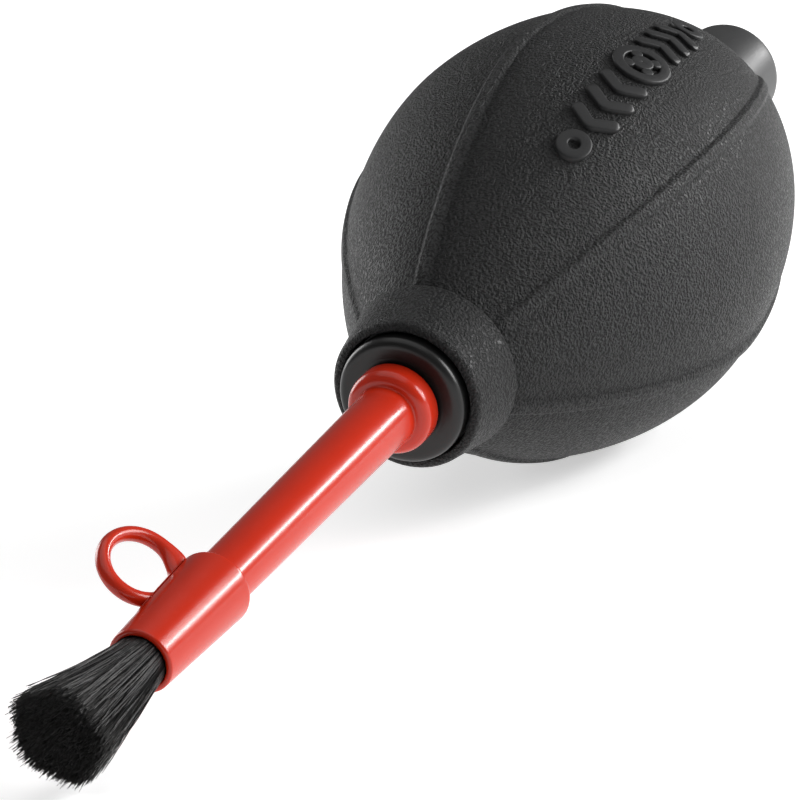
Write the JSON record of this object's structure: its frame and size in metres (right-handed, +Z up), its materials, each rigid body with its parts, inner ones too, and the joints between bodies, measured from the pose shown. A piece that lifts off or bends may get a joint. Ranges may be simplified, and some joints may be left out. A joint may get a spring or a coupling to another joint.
{
  "type": "dust blower bulb",
  "caption": "Hand-squeezed dust blower: ribbed rubber bulb with inlet valve, plug-in tapered nozzle and a slip-on brush with a hanging loop.",
  "frame": {"origin": "under the middle of the object's box, on the surface it lies on", "axes": "+Z up; +X level, from the valve end towards the brush; the tool's own axis is nose-down 8.7 degrees from +X in the XZ plane"},
  "size_m": [0.1998, 0.055, 0.0564],
  "materials": {
    "bulb_rubber": "fine pebble grain, matt with a soft sheen",
    "red_plastic": "glossy moulded",
    "black_plastic": "semi-gloss moulded",
    "grey_plastic": "smooth satin",
    "seal_rubber": "smooth matt",
    "brass_band": "plain",
    "brush_hair": "dense black bristle"
  },
  "bodies": {
    "bulb": {"bulb_shell": "bulb_rubber", "neck_socket": "grey_plastic", "inlet_housing": "grey_plastic", "valve_seat": "grey_plastic", "valve_cage": "grey_plastic"},
    "thumb_wall": {"thumb_wall": "bulb_rubber"},
    "finger_wall": {"finger_wall": "bulb_rubber"},
    "collar": {"neck_collar": "black_plastic", "nozzle_seal": "seal_rubber"},
    "nozzle": {"nozzle_tube": "red_plastic"},
    "brush": {"brush_sleeve": "red_plastic", "brush_root_block": "black_plastic", "brush_ferrule": "brass_band", "brush_tuft": "brush_hair"},
    "flap": {"valve_flap": "seal_rubber"}
  },
  "joints": [
    {"name": "thumb_squeeze", "type": "slide", "parent": "bulb", "child": "thumb_wall", "axis": [0, -1, 0], "range_m": [0, 0.011], "stiffness_N_per_m": 1500},
    {"name": "finger_squeeze", "type": "slide", "parent": "bulb", "child": "finger_wall", "axis": [0, 1, 0], "range_m": [0, 0.011], "stiffness_N_per_m": 1500},
    {"name": "collar_turn", "type": "hinge", "parent": "bulb", "child": "collar", "pos_m": [0.01692, 0, 0.01928], "axis": [0.9872, 0, -0.1596], "continuous": true},
    {"name": "nozzle_pull", "type": "slide", "parent": "collar", "child": "nozzle", "axis": [0.9872, 0, -0.1596], "range_m": [0, 0.012]},
    {"name": "brush_pull", "type": "slide", "parent": "nozzle", "child": "brush", "axis": [0.9872, 0, -0.1596], "range_m": [0, 0.009]},
    {"name": "flap_lift", "type": "slide", "parent": "bulb", "child": "flap", "axis": [0.9872, 0, -0.1596], "range_m": [0, 0.0014], "stiffness_N_per_m": 8}
  ],
  "couplings": [
    {"joint": "finger_squeeze", "follows": "thumb_squeeze", "ratio": 1}
  ]
}
